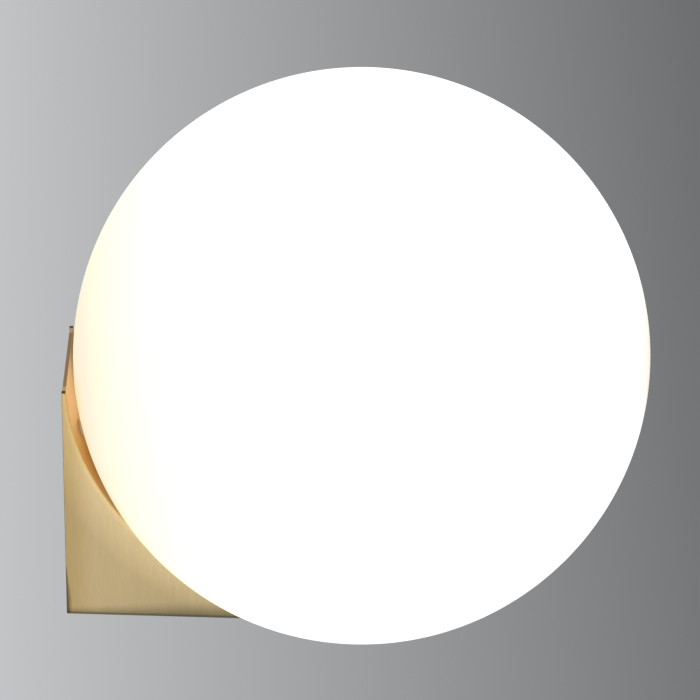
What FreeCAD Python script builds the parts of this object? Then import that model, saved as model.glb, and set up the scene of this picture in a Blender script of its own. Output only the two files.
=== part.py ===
import FreeCAD, Part
import math
import os

# Globe wall sconce, millimetres.  The wall is the plane y = 0, the lamp stands out towards -Y,
# +Z is up, and the origin is the middle of the two wall screws.
# The globe's neck, the lampholder and the globe's fitter share one axis.  It runs from the
# globe's centre down and back into the corner of the cradle, at 45 degrees.  Places on that
# axis are distances from the globe's centre towards the corner.

# Clearances
RUN_GAP = 0.3
THREAD_GAP = 0.08
SCREW_GAP = 0.07
LEAD_SEAT_GAP = 0.1

# How far a cutting shape runs past what it cuts
CUT_PAST = 1.0

# Globe of blown glass
GLOBE_RADIUS = 125.0
GLASS_WALL = 3.0
NECK_RADIUS = 16.0
NECK_FILLET = 3.0
NECK_PROUD = 1.0

# Threaded collar cemented on the neck
COLLAR_WALL = 1.6
COLLAR_LENGTH = 8.8
RIM_OVERHANG = 1.0
RIM_THICKNESS = 1.3
RIM_SETBACK = 1.5

# Brass cradle
SHEET = 1.5
SEAT_CLEARANCE = 2.2
SEAT_HOLE_GAP = 0.8
SEAT_SIDE_STRIP = 3.8
BACK_CLEARANCE = 0.3
REAR_SHADOW_GAP = 0.25
TOP_DROP = 6.2
FOLD_RADIUS = 3.0
EDGE_ROUND = 0.3

# Silicone buffers under the globe
BUFFER_RADIUS = 4.0
BUFFER_STEM_RADIUS = 1.5
BUFFER_TAIL = 0.6
BUFFER_OFFSET_X = 8.0
BUFFER_ANGLE = 28.0

# Globe fitter and its carrier
CUP_WALL = 1.5
CUP_FLOOR = 1.4
GASKET_THICKNESS = 2.0
GASKET_RING_WIDTH = 4.3
CARRIER_SHEET = 1.5
CARRIER_WIDTH = 32.0
CARRIER_SIDE_GAP = 3.3

# Threaded stem with its nuts and washers
STEM_RADIUS = 5.0
STEM_BORE_RADIUS = 3.5
STEM_LENGTH = 59.5
STEM_PROUD = 0.9
STEM_TOP_PROUD = 0.5
STEM_HOLE_GAP = 0.05
NUT_FLATS = 14.0
NUT_THICKNESS = 2.5
LOCK_WASHER_RADIUS = 8.0
LOCK_WASHER_THICKNESS = 0.8
LOCK_WASHER_TEETH = 12

# Lampholder
HOLDER_RADIUS = 9.4
HOLDER_LENGTH = 22.0
HOLDER_STEM_GAP = 1.0
PIN_SPACING = 9.0
POCKET_WIDTH = 4.2
POCKET_BREADTH = 3.2
POCKET_DEPTH = 16.0
BRACKET_SHEET = 1.0
BRACKET_SIDE_GAP = 0.2
BRACKET_BREADTH = 12.0
EAR_BREADTH = 7.0
EAR_SCREW_INSET = 3.0
EAR_PAST_SCREW = 2.5
HOLDER_SCREW_RADIUS = 1.25
HOLDER_HEAD_RADIUS = 1.9
HOLDER_HEAD_HEIGHT = 1.0
CONTACT_SHEET = 0.4
CONTACT_WIDTH = 3.2
CONTACT_BACK = 13.5

# Capsule bulb
BULB_RADIUS = 8.5
BULB_WALL = 0.9
BULB_LENGTH = 44.0
BULB_BASE_RADIUS = 8.0
BULB_BASE_LENGTH = 10.0
BULB_STEP_HEIGHT = 3.0
PIN_WIRE_RADIUS = 0.5
PIN_LOOP_RADIUS = 1.0
PIN_LENGTH = 11.0
LIGHT_CORE_WIDTH = 6.0
LIGHT_CORE_THICKNESS = 1.6
LIGHT_CORE_LENGTH = 33.0

# Wall plate and cleat
PLATE_SHEET = 2.0
PLATE_FLOOR_GAP = 3.0
EAR_CHEEK_GAP = 3.7
PLATE_EAR_DEPTH = 12.0
PLATE_EAR_HEIGHT = 30.0
PLATE_EAR_RISE = 13.0
TONGUE_LENGTH = 5.66
CLEAT_DEPTH = 4.2
CLEAT_FACE = 4.0
CLEAT_WALL_GAP = 0.4
CLEAT_SEAT_GAP = 1.5
WALL_SCREW_SPACING = 50.0
WALL_SLOT_WIDTH = 4.8
WALL_SLOT_LENGTH = 10.0
CABLE_HOLE_RISE = 10.0
CABLE_HOLE_RADIUS = 7.0
GROMMET_FLANGE = 2.0
GROMMET_LIP = 1.5
GROMMET_BORE_RADIUS = 4.0
EARTH_SCREW_X = 10.0
EARTH_SCREW_Z = -10.0
EARTH_SCREW_RADIUS = 2.0
EARTH_HEAD_RADIUS = 3.5
EARTH_HEAD_HEIGHT = 2.4
EARTH_SLOT_WIDTH = 1.0
EARTH_CLAMP_SIDE = 8.0
EARTH_CLAMP_THICKNESS = 1.0

# Lock screw in the right-hand cheek
LOCK_SCREW_RADIUS = 1.95
LOCK_SCREW_RECESS = 0.4
LOCK_SOCKET_FLATS = 2.0
LOCK_SOCKET_DEPTH = 2.0
LOCK_NUT_RADIUS = 4.0
LOCK_NUT_THICKNESS = 2.9
LOCK_SCREW_DEPTH = 6.0

# Terminal block
BLOCK_WIDTH = 28.0
BLOCK_DEPTH = 9.0
BLOCK_HEIGHT = 11.0
BLOCK_WALL_GAP = 4.0
BLOCK_FOOT_WIDTH = 12.0
BLOCK_FOOT_DEPTH = 7.0
BLOCK_FOOT_HEIGHT = 3.0
POLE_SPACING = 9.0
CLAMP_RADIUS = 2.6
CLAMP_BORE_RADIUS = 1.9
CLAMP_TOP_INSET = 2.0
CLAMP_BOTTOM_INSET = 1.5
CLAMP_FLOOR = 1.0
TERMINAL_SCREW_RADIUS = 1.25
TERMINAL_HEAD_RADIUS = 1.9
TERMINAL_HEAD_HEIGHT = 1.0
TERMINAL_SCREW_RISE = 4.0
STUD_RADIUS = 1.5
STUD_LENGTH = 7.0
STUD_NUT_FLATS = 5.5
STUD_NUT_THICKNESS = 2.4

# Internal leads
LEAD_RADIUS = 1.0
LEAD_SPREAD = 1.3
LEAD_IN_HOLDER = 4.0
LEAD_IN_CLAMP = 5.0
LEAD_PAST_STEM = 1.5
LEAD_BEND_RISE = 7.0
LEAD_ARC_SHARE = 0.45
TAG_THICKNESS = 0.8
TAG_RADIUS = 8.0
TAG_BARREL_RADIUS = 1.7
TAG_BARREL_OFFSET = 10.6
TAG_BARREL_LENGTH = 6.0

# Cradle, worked out from the globe and the neck
SEAT_INNER = GLOBE_RADIUS + SEAT_CLEARANCE
SEAT_OUTER = SEAT_INNER + SHEET
SEAT_MIDDLE = (SEAT_INNER + SEAT_OUTER) / 2
WALL_DISTANCE = SEAT_OUTER + BACK_CLEARANCE
CRADLE_REACH = WALL_DISTANCE - REAR_SHADOW_GAP
COLLAR_RADIUS = NECK_RADIUS + COLLAR_WALL
RIM_RADIUS = COLLAR_RADIUS + RIM_OVERHANG
SEAT_HOLE_RADIUS = RIM_RADIUS + SEAT_HOLE_GAP
INNER_HALF_WIDTH = SEAT_HOLE_RADIUS + SEAT_SIDE_STRIP
OUTER_HALF_WIDTH = INNER_HALF_WIDTH + SHEET

# Stations on the lamp axis, the first one well inside the globe
INSIDE_GLOBE = GLOBE_RADIUS / 2
RIM_NEAR = SEAT_OUTER + RIM_SETBACK
RIM_FAR = RIM_NEAR + RIM_THICKNESS
COLLAR_FAR = RIM_NEAR + COLLAR_LENGTH
NECK_END = COLLAR_FAR + NECK_PROUD
CUP_MOUTH = RIM_FAR + RUN_GAP
GASKET_NEAR = NECK_END + RUN_GAP
GASKET_FAR = GASKET_NEAR + GASKET_THICKNESS
CUP_FLOOR_NEAR = GASKET_FAR + RUN_GAP
CARRIER_NEAR = CUP_FLOOR_NEAR + CUP_FLOOR
CARRIER_FAR = CARRIER_NEAR + CARRIER_SHEET
TAG_NEAR = CARRIER_FAR + LOCK_WASHER_THICKNESS
LOW_NUT_NEAR = TAG_NEAR + TAG_THICKNESS
STEM_FAR = LOW_NUT_NEAR + NUT_THICKNESS + STEM_PROUD
STEM_NEAR = STEM_FAR - STEM_LENGTH
BRACKET_NEAR = STEM_NEAR + STEM_TOP_PROUD + NUT_THICKNESS
BRACKET_FAR = BRACKET_NEAR + BRACKET_SHEET
HOLDER_FAR = STEM_NEAR - HOLDER_STEM_GAP
HOLDER_NEAR = HOLDER_FAR - HOLDER_LENGTH
BULB_BASE_FAR = HOLDER_NEAR - RUN_GAP
BULB_BASE_NEAR = BULB_BASE_FAR - BULB_BASE_LENGTH
CUP_BORE_RADIUS = COLLAR_RADIUS + THREAD_GAP
CUP_RADIUS = CUP_BORE_RADIUS + CUP_WALL

# Heights, measured down from the globe's centre.  The cleat sits as high as the room
# behind the seat allows, and the wall screws are centred on the flat of the wall plate.
FLOOR_TOP_DROP = CRADLE_REACH - SHEET
CLEAT_FRONT = CLEAT_WALL_GAP + CLEAT_DEPTH
CLEAT_TOP_DROP = math.sqrt(SEAT_OUTER ** 2 - (WALL_DISTANCE - CLEAT_FRONT - CLEAT_SEAT_GAP) ** 2)
CLEAT_HEEL_DROP = CLEAT_TOP_DROP + CLEAT_FACE + CLEAT_DEPTH
TONGUE_ROOT_DROP = CLEAT_HEEL_DROP + CLEAT_WALL_GAP + RUN_GAP * math.sqrt(2)
PLATE_BOTTOM_DROP = FLOOR_TOP_DROP - PLATE_FLOOR_GAP
CENTRE_HEIGHT = (TONGUE_ROOT_DROP + PLATE_BOTTOM_DROP) / 2
CENTRE = FreeCAD.Vector(0, -WALL_DISTANCE, CENTRE_HEIGHT)
FLOOR_TOP = CENTRE_HEIGHT - FLOOR_TOP_DROP
CRADLE_BOTTOM = CENTRE_HEIGHT - CRADLE_REACH
PLATE_HALF_WIDTH = INNER_HALF_WIDTH - EAR_CHEEK_GAP
PLATE_BOTTOM = CENTRE_HEIGHT - PLATE_BOTTOM_DROP
PLATE_EAR_BOTTOM = FLOOR_TOP + PLATE_EAR_RISE

# Terminal block, on the cradle's floor
BLOCK_REAR = -BLOCK_WALL_GAP
BLOCK_FRONT = BLOCK_REAR - BLOCK_DEPTH
BLOCK_TOP = FLOOR_TOP + BLOCK_HEIGHT
POLE_Y = (BLOCK_REAR + BLOCK_FRONT) / 2
POLES = (-POLE_SPACING, 0.0, POLE_SPACING)
LEAD_Y = POLE_Y - (CLAMP_BORE_RADIUS - LEAD_RADIUS) + LEAD_SEAT_GAP
STUD_Y = BLOCK_FRONT - BLOCK_FOOT_DEPTH / 2

X_AXIS = FreeCAD.Vector(1, 0, 0)
Y_AXIS = FreeCAD.Vector(0, 1, 0)
Z_AXIS = FreeCAD.Vector(0, 0, 1)
LAMP_PLACEMENT = FreeCAD.Placement(CENTRE, FreeCAD.Rotation(X_AXIS, 45))


def box(x0, x1, y0, y1, z0, z1):
    return Part.makeBox(x1 - x0, y1 - y0, z1 - z0, FreeCAD.Vector(x0, y0, z0))


def rod(radius, start, direction, length):
    return Part.makeCylinder(radius, length, start, direction)


def on_lamp_axis(shape):
    """Move a shape drawn about +Z, with the globe's centre at zero, onto the lamp axis."""
    moved = shape.copy()
    moved.Placement = LAMP_PLACEMENT.multiply(moved.Placement)
    return moved


def axis_point(x, across, distance):
    """The point at a distance from the globe's centre towards the corner of the cradle."""
    return LAMP_PLACEMENT.multVec(FreeCAD.Vector(x, across, -distance))


def stack_disc(radius, near, far):
    return rod(radius, FreeCAD.Vector(0, 0, -far), Z_AXIS, far - near)


def stack_ring(radius, bore, near, far):
    return stack_disc(radius, near, far).cut(stack_disc(bore, near, far))


def stack_box(half_x, half_across, near, far):
    return box(-half_x, half_x, -half_across, half_across, -far, -near)


def hexagon(flats, near, far):
    corner = flats / math.sqrt(3)
    corners = []
    for side in range(7):
        turn = math.radians(60 * side)
        corners.append(FreeCAD.Vector(corner * math.cos(turn), corner * math.sin(turn), -far))
    return Part.Face(Part.makePolygon(corners)).extrude(FreeCAD.Vector(0, 0, far - near))


def across_cylinder(radius, half_length):
    """A cylinder along X about the globe's centre."""
    start = FreeCAD.Vector(-half_length, CENTRE.y, CENTRE.z)
    return rod(radius, start, X_AXIS, 2 * half_length)


def cradle_block(half_width, floor, rear):
    """The square quadrant behind and below the globe, between two cheek planes."""
    front = CENTRE.y + TOP_DROP
    return box(-half_width, half_width, front, rear, floor, CENTRE.z - TOP_DROP)


def bottom_edges(shape, height):
    """The edges along Y at a given height."""
    chosen = []
    for edge in shape.Edges:
        ends = [vertex.Point for vertex in edge.Vertexes]
        level = all(abs(point.z - height) < 1e-6 for point in ends)
        if level and abs(ends[0].x - ends[-1].x) < 1e-6:
            chosen.append(edge)
    return chosen


def cradle_shell():
    """Two cheeks and the floor, folded from one sheet, with the globe's quarter circle cut out."""
    outside = cradle_block(OUTER_HALF_WIDTH, CRADLE_BOTTOM, -REAR_SHADOW_GAP)
    outside = outside.makeFillet(FOLD_RADIUS, bottom_edges(outside, CRADLE_BOTTOM))
    outside = outside.cut(across_cylinder(SEAT_INNER, OUTER_HALF_WIDTH + CUT_PAST))
    outside = outside.makeFillet(EDGE_ROUND, cheek_rim_edges(outside))
    inside = box(-INNER_HALF_WIDTH, INNER_HALF_WIDTH, CENTRE.y, CUT_PAST, FLOOR_TOP, CENTRE.z)
    inside = inside.makeFillet(FOLD_RADIUS - SHEET, bottom_edges(inside, FLOOR_TOP))
    shell = outside.cut(inside)
    shell = shell.cut(across_cylinder(SEAT_OUTER, INNER_HALF_WIDTH))
    return shell.cut(lock_screw_rod(LOCK_SCREW_RADIUS + SCREW_GAP, 0, SHEET + CUT_PAST))


def cheek_rim_edges(shape):
    """The edges of both cheeks' outer faces, apart from those where the sheet folds."""
    chosen = []
    for edge in shape.Edges:
        ends = [vertex.Point for vertex in edge.Vertexes]
        on_cheek = all(abs(abs(point.x) - OUTER_HALF_WIDTH) < 1e-6 for point in ends)
        same_side = ends[0].x * ends[-1].x > 0
        at_fold = all(point.z < CRADLE_BOTTOM + FOLD_RADIUS + 1e-6 for point in ends)
        if on_cheek and same_side and not at_fold:
            chosen.append(edge)
    return chosen


def seat_plate():
    """The rolled sheet that the globe nests in, with holes for the neck and the buffers."""
    roll = across_cylinder(SEAT_OUTER, INNER_HALF_WIDTH)
    roll = roll.cut(across_cylinder(SEAT_INNER, INNER_HALF_WIDTH))
    roll = roll.common(cradle_block(INNER_HALF_WIDTH, CRADLE_BOTTOM, 0))
    roll = roll.cut(on_lamp_axis(stack_disc(SEAT_HOLE_RADIUS, INSIDE_GLOBE, SEAT_OUTER + CUT_PAST)))
    for x, angle in buffer_places():
        hole = buffer_rod(x, angle, BUFFER_STEM_RADIUS, GLOBE_RADIUS, SEAT_OUTER + CUT_PAST)
        roll = roll.cut(hole)
    return roll


def buffer_places():
    return [(x, angle) for x in (-BUFFER_OFFSET_X, BUFFER_OFFSET_X)
            for angle in (-BUFFER_ANGLE, BUFFER_ANGLE)]


def buffer_rod(x, angle, radius, near, far):
    """A short rod square to the seat, turned by an angle from the lamp axis."""
    shape = rod(radius, FreeCAD.Vector(x, 0, -far), Z_AXIS, far - near)
    shape.rotate(FreeCAD.Vector(0, 0, 0), X_AXIS, angle)
    return on_lamp_axis(shape)


def seat_buffers():
    """Silicone buttons pushed through the seat, which the glass rests against."""
    buttons = []
    ring = across_cylinder(SEAT_OUTER, INNER_HALF_WIDTH)
    ring = ring.cut(across_cylinder(SEAT_INNER, INNER_HALF_WIDTH))
    top = GLOBE_RADIUS + RUN_GAP
    for x, angle in buffer_places():
        head = buffer_rod(x, angle, BUFFER_RADIUS, top, SEAT_MIDDLE).cut(ring)
        stem = buffer_rod(x, angle, BUFFER_STEM_RADIUS, top, SEAT_OUTER + BUFFER_TAIL)
        buttons.append(head.fuse(stem).removeSplitter())
    return Part.makeCompound(buttons)


def cleat_bar():
    """The bevelled bar between the cheeks that hooks behind the wall plate's tongue."""
    back = -CLEAT_WALL_GAP
    front = -CLEAT_FRONT
    top = CENTRE.z - CLEAT_TOP_DROP
    heel = CENTRE.z - CLEAT_HEEL_DROP
    corners = [(back, heel), (back, top), (front, top), (front, top - CLEAT_FACE), (back, heel)]
    outline = [FreeCAD.Vector(-INNER_HALF_WIDTH, y, z) for y, z in corners]
    face = Part.Face(Part.makePolygon(outline))
    return face.extrude(FreeCAD.Vector(2 * INNER_HALF_WIDTH, 0, 0))


def neck_outline():
    """The glass in section: two concentric walls that flow from the globe into the neck."""
    flow_radius = NECK_RADIUS + NECK_FILLET
    flow_distance = GLOBE_RADIUS + NECK_FILLET
    flow_drop = math.sqrt(flow_distance ** 2 - flow_radius ** 2)
    flow = FreeCAD.Vector(flow_radius, 0, -flow_drop)
    edges = []
    corners = []
    for wall_radius, tube_radius in ((GLOBE_RADIUS, NECK_RADIUS),
                                     (GLOBE_RADIUS - GLASS_WALL, NECK_RADIUS - GLASS_WALL)):
        crown = FreeCAD.Vector(0, 0, wall_radius)
        side = FreeCAD.Vector(wall_radius, 0, 0)
        leave = flow * (wall_radius / flow.Length)
        join = FreeCAD.Vector(tube_radius, 0, -flow_drop)
        fillet = flow_radius - tube_radius
        middle = leave - flow + join - flow
        middle = flow + middle * (fillet / middle.Length)
        rim = FreeCAD.Vector(tube_radius, 0, -NECK_END)
        edges.append(Part.Arc(crown, side, leave).toShape())
        edges.append(Part.Arc(leave, middle, join).toShape())
        edges.append(Part.LineSegment(join, rim).toShape())
        corners.append((crown, rim))
    edges.append(Part.LineSegment(corners[0][1], corners[1][1]).toShape())
    edges.append(Part.LineSegment(corners[0][0], corners[1][0]).toShape())
    return Part.Wire(Part.sortEdges(edges)[0])


def globe_glass():
    glass = Part.Face(neck_outline()).revolve(FreeCAD.Vector(0, 0, 0), Z_AXIS, 360)
    return on_lamp_axis(glass)


def neck_collar():
    """The threaded ring cemented on the glass, with a rim that stops on the fitter cup."""
    sleeve = stack_ring(COLLAR_RADIUS, NECK_RADIUS, RIM_NEAR, COLLAR_FAR)
    rim = stack_ring(RIM_RADIUS, NECK_RADIUS, RIM_NEAR, RIM_FAR)
    return on_lamp_axis(sleeve.fuse(rim).removeSplitter())


def neck_gasket():
    radius = CUP_BORE_RADIUS - RUN_GAP
    return on_lamp_axis(stack_ring(radius, radius - GASKET_RING_WIDTH, GASKET_NEAR, GASKET_FAR))


def fitter_cup():
    """The cup under the seat whose thread takes the globe's collar."""
    cup = stack_disc(CUP_RADIUS, CUP_MOUTH, CARRIER_NEAR)
    cup = cup.cut(stack_disc(CUP_BORE_RADIUS, CUP_MOUTH, CUP_FLOOR_NEAR))
    cup = cup.cut(stack_disc(STEM_RADIUS + STEM_HOLE_GAP, CUP_FLOOR_NEAR, CARRIER_NEAR))
    return on_lamp_axis(cup)


def carrier_bracket():
    """The steel channel welded behind the seat, which carries the cup and the stem."""
    inner = CUP_RADIUS + CARRIER_SIDE_GAP
    outer = inner + CARRIER_SHEET
    half_width = CARRIER_WIDTH / 2
    channel = stack_box(half_width, outer, INSIDE_GLOBE, CARRIER_FAR)
    channel = channel.cut(stack_box(half_width, inner, INSIDE_GLOBE, CARRIER_NEAR))
    channel = channel.cut(stack_disc(STEM_RADIUS + STEM_HOLE_GAP, CARRIER_NEAR, CARRIER_FAR))
    channel = on_lamp_axis(channel)
    return channel.cut(across_cylinder(SEAT_OUTER, OUTER_HALF_WIDTH))


def stem_tube():
    return on_lamp_axis(stack_ring(STEM_RADIUS, STEM_BORE_RADIUS, STEM_NEAR, STEM_FAR))


def stem_nuts():
    """Two nuts on the lampholder's bracket and two on the carrier."""
    nears = [BRACKET_NEAR - NUT_THICKNESS, BRACKET_FAR, CUP_FLOOR_NEAR - NUT_THICKNESS, LOW_NUT_NEAR]
    nuts = []
    for near in nears:
        nut = hexagon(NUT_FLATS, near, near + NUT_THICKNESS)
        bevel = Part.makeCone(NUT_FLATS / 2 + NUT_THICKNESS, NUT_FLATS / 2, NUT_THICKNESS,
                              FreeCAD.Vector(0, 0, -near - NUT_THICKNESS), Z_AXIS)
        nut = nut.common(bevel)
        nuts.append(on_lamp_axis(nut.cut(stack_disc(STEM_RADIUS, near, near + NUT_THICKNESS))))
    return Part.makeCompound(nuts)


def lock_washer():
    """A toothed washer that bites into the carrier."""
    washer = stack_ring(LOCK_WASHER_RADIUS, STEM_RADIUS, CARRIER_FAR, TAG_NEAR)
    notch_radius = LOCK_WASHER_RADIUS * math.pi / LOCK_WASHER_TEETH / 2
    for tooth in range(LOCK_WASHER_TEETH):
        turn = math.radians(360 * tooth / LOCK_WASHER_TEETH)
        place = FreeCAD.Vector(LOCK_WASHER_RADIUS * math.cos(turn),
                               LOCK_WASHER_RADIUS * math.sin(turn), -TAG_NEAR)
        washer = washer.cut(rod(notch_radius, place, Z_AXIS, LOCK_WASHER_THICKNESS))
    return on_lamp_axis(washer)


def earth_tag():
    """The ring under the low nut that the earth lead is crimped to."""
    ring = stack_ring(TAG_RADIUS, STEM_RADIUS, TAG_NEAR, LOW_NUT_NEAR)
    tongue = box(-TAG_BARREL_RADIUS, TAG_BARREL_RADIUS, (STEM_RADIUS + TAG_RADIUS) / 2, TAG_BARREL_OFFSET,
                 -LOW_NUT_NEAR, -TAG_NEAR)
    barrel = rod(TAG_BARREL_RADIUS, FreeCAD.Vector(0, TAG_BARREL_OFFSET, -TAG_NEAR - TAG_BARREL_LENGTH),
                 Z_AXIS, TAG_BARREL_LENGTH)
    tag = ring.fuse([tongue, barrel]).removeSplitter()
    socket = rod(LEAD_RADIUS, FreeCAD.Vector(0, TAG_BARREL_OFFSET, -TAG_NEAR - TAG_BARREL_LENGTH),
                 Z_AXIS, TAG_BARREL_LENGTH - TAG_THICKNESS)
    return on_lamp_axis(tag.cut(socket))


def holder_bracket():
    """The small fork that holds the lampholder on top of the stem."""
    inner = HOLDER_RADIUS + BRACKET_SIDE_GAP
    outer = inner + BRACKET_SHEET
    ear_near = HOLDER_FAR - EAR_SCREW_INSET - EAR_PAST_SCREW
    base = stack_box(outer, BRACKET_BREADTH / 2, BRACKET_NEAR, BRACKET_FAR)
    ears = stack_box(outer, EAR_BREADTH / 2, ear_near, BRACKET_FAR)
    ears = ears.cut(stack_box(inner, EAR_BREADTH / 2, ear_near, BRACKET_FAR))
    fork = base.fuse(ears).removeSplitter()
    fork = fork.cut(stack_disc(STEM_RADIUS + STEM_HOLE_GAP, BRACKET_NEAR, BRACKET_FAR))
    start = FreeCAD.Vector(-outer, 0, -(HOLDER_FAR - EAR_SCREW_INSET))
    return on_lamp_axis(fork.cut(rod(HOLDER_SCREW_RADIUS, start, X_AXIS, 2 * outer)))


def holder_pocket(side):
    """The space in the lampholder for one pin and its contact."""
    centre = side * PIN_SPACING / 2
    return box(centre - POCKET_WIDTH / 2, centre + POCKET_WIDTH / 2,
               -POCKET_BREADTH / 2, POCKET_BREADTH / 2, -HOLDER_NEAR - POCKET_DEPTH, -HOLDER_NEAR)


def holder_screw(side):
    """One screw through the fork's ear into the lampholder."""
    face = HOLDER_RADIUS + BRACKET_SIDE_GAP + BRACKET_SHEET
    level = -(HOLDER_FAR - EAR_SCREW_INSET)
    tip = PIN_SPACING / 2
    inward = FreeCAD.Vector(-side, 0, 0)
    shank = rod(HOLDER_SCREW_RADIUS, FreeCAD.Vector(side * face, 0, level), inward, face - tip)
    head_start = FreeCAD.Vector(side * (face + HOLDER_HEAD_HEIGHT), 0, level)
    head = rod(HOLDER_HEAD_RADIUS, head_start, inward, HOLDER_HEAD_HEIGHT)
    return head.fuse(shank).removeSplitter()


def holder_screws():
    return Part.makeCompound([on_lamp_axis(holder_screw(side)) for side in (-1, 1)])


def holder_body():
    """The ceramic lampholder, open at the top for the bulb's two pins."""
    body = stack_disc(HOLDER_RADIUS, HOLDER_NEAR, HOLDER_FAR)
    for side in (-1, 1):
        body = body.cut(holder_pocket(side))
        body = body.cut(holder_screw(side))
        entry = FreeCAD.Vector(side * LEAD_SPREAD, 0, -HOLDER_FAR)
        body = body.cut(rod(LEAD_RADIUS, entry, Z_AXIS, LEAD_IN_HOLDER))
    return on_lamp_axis(body)


def holder_contacts():
    """Two folded spring clips, one round each pin."""
    clips = []
    near = HOLDER_NEAR + POCKET_DEPTH - CONTACT_BACK
    far = HOLDER_NEAR + POCKET_DEPTH
    inner = PIN_WIRE_RADIUS + RUN_GAP
    for side in (-1, 1):
        clip = stack_box(CONTACT_WIDTH / 2, inner + CONTACT_SHEET, near, far)
        clip = clip.cut(stack_box(CONTACT_WIDTH / 2, inner, near, far - CONTACT_SHEET))
        clip.translate(FreeCAD.Vector(side * PIN_SPACING / 2, 0, 0))
        clips.append(on_lamp_axis(clip))
    return Part.makeCompound(clips)


def bulb_envelope():
    """The frosted capsule: a thin tube closed by a dome."""
    inner = BULB_RADIUS - BULB_WALL
    dome = -BULB_BASE_NEAR + BULB_LENGTH - BULB_RADIUS
    foot = FreeCAD.Vector(0, 0, -BULB_BASE_NEAR)
    length = BULB_LENGTH - BULB_RADIUS
    skin = rod(BULB_RADIUS, foot, Z_AXIS, length)
    skin = skin.fuse(Part.makeSphere(BULB_RADIUS, FreeCAD.Vector(0, 0, dome)))
    hollow = rod(inner, foot, Z_AXIS, length)
    hollow = hollow.fuse(Part.makeSphere(inner, FreeCAD.Vector(0, 0, dome)))
    return on_lamp_axis(skin.cut(hollow).removeSplitter())


def bulb_base():
    """The plug-shaped base, with a step that centres the capsule."""
    base = stack_disc(BULB_BASE_RADIUS, BULB_BASE_NEAR, BULB_BASE_FAR)
    step = stack_disc(BULB_RADIUS - BULB_WALL, BULB_BASE_NEAR - BULB_STEP_HEIGHT, BULB_BASE_NEAR)
    return on_lamp_axis(base.fuse(step).removeSplitter())


def bulb_pins():
    """Two wire loops that push into the lampholder."""
    pins = []
    for side in (-1, 1):
        centre = side * PIN_SPACING / 2
        left = centre - PIN_LOOP_RADIUS
        right = centre + PIN_LOOP_RADIUS
        top = -BULB_BASE_FAR
        turn = top - PIN_LENGTH + PIN_LOOP_RADIUS + PIN_WIRE_RADIUS
        start = FreeCAD.Vector(left, 0, top)
        down = FreeCAD.Vector(left, 0, turn)
        bottom = FreeCAD.Vector(centre, 0, turn - PIN_LOOP_RADIUS)
        up = FreeCAD.Vector(right, 0, turn)
        end = FreeCAD.Vector(right, 0, top)
        path = Part.Wire([Part.LineSegment(start, down).toShape(), Part.Arc(down, bottom, up).toShape(),
                          Part.LineSegment(up, end).toShape()])
        section = Part.Wire([Part.Circle(start, Z_AXIS, PIN_WIRE_RADIUS).toShape()])
        pins.append(on_lamp_axis(path.makePipeShell([section], True, False)))
    return Part.makeCompound(pins)


def light_core():
    """The lit strip inside the capsule, standing on the base."""
    foot = BULB_BASE_NEAR - BULB_STEP_HEIGHT
    return on_lamp_axis(stack_box(LIGHT_CORE_WIDTH / 2, LIGHT_CORE_THICKNESS / 2,
                                  foot - LIGHT_CORE_LENGTH, foot))


def wall_plate():
    """The steel plate on the wall: cleat tongue at the top, an ear each side, slots, cable hole."""
    root = CENTRE.z - TONGUE_ROOT_DROP
    reach = TONGUE_LENGTH / math.sqrt(2)
    slant = PLATE_SHEET / math.sqrt(2)
    bend = root - PLATE_SHEET * (math.sqrt(2) - 1)
    corners = [(0, PLATE_BOTTOM), (0, root), (-reach, root + reach),
               (-reach - slant, root + reach - slant), (-PLATE_SHEET, bend),
               (-PLATE_SHEET, PLATE_BOTTOM), (0, PLATE_BOTTOM)]
    outline = [FreeCAD.Vector(-PLATE_HALF_WIDTH, y, z) for y, z in corners]
    plate = Part.Face(Part.makePolygon(outline)).extrude(FreeCAD.Vector(2 * PLATE_HALF_WIDTH, 0, 0))
    top = PLATE_EAR_BOTTOM + PLATE_EAR_HEIGHT
    for side in (-1, 1):
        faces = sorted([side * PLATE_HALF_WIDTH, side * (PLATE_HALF_WIDTH - PLATE_SHEET)])
        plate = plate.fuse(box(faces[0], faces[1], -PLATE_EAR_DEPTH, 0, PLATE_EAR_BOTTOM, top))
        plate = plate.cut(wall_slot(side * WALL_SCREW_SPACING / 2))
    hole = FreeCAD.Vector(0, -PLATE_SHEET, CABLE_HOLE_RISE)
    plate = plate.cut(rod(CABLE_HOLE_RADIUS, hole, Y_AXIS, PLATE_SHEET))
    return plate.cut(earth_screw_rod(EARTH_SCREW_RADIUS)).removeSplitter()


def wall_slot(height):
    """A round-ended upright slot for one wall screw."""
    half_straight = (WALL_SLOT_LENGTH - WALL_SLOT_WIDTH) / 2
    half_width = WALL_SLOT_WIDTH / 2
    slot = box(-half_width, half_width, -PLATE_SHEET, 0,
               height - half_straight, height + half_straight)
    for end in (-half_straight, half_straight):
        start = FreeCAD.Vector(0, -PLATE_SHEET, height + end)
        slot = slot.fuse(rod(half_width, start, Y_AXIS, PLATE_SHEET))
    return slot.removeSplitter()


def cable_grommet():
    """The rubber bush that lines the cable hole, with a lip on the room side."""
    start = FreeCAD.Vector(0, -PLATE_SHEET, CABLE_HOLE_RISE)
    lip = FreeCAD.Vector(0, -PLATE_SHEET - GROMMET_LIP, CABLE_HOLE_RISE)
    bush = rod(CABLE_HOLE_RADIUS, start, Y_AXIS, PLATE_SHEET)
    bush = bush.fuse(rod(CABLE_HOLE_RADIUS + GROMMET_FLANGE, lip, Y_AXIS, GROMMET_LIP))
    bore = rod(GROMMET_BORE_RADIUS, lip, Y_AXIS, GROMMET_LIP + PLATE_SHEET)
    return bush.cut(bore).removeSplitter()


def earth_screw_rod(radius):
    start = FreeCAD.Vector(EARTH_SCREW_X, 0, EARTH_SCREW_Z)
    return rod(radius, start, -Y_AXIS, PLATE_SHEET + EARTH_CLAMP_THICKNESS)


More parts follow.
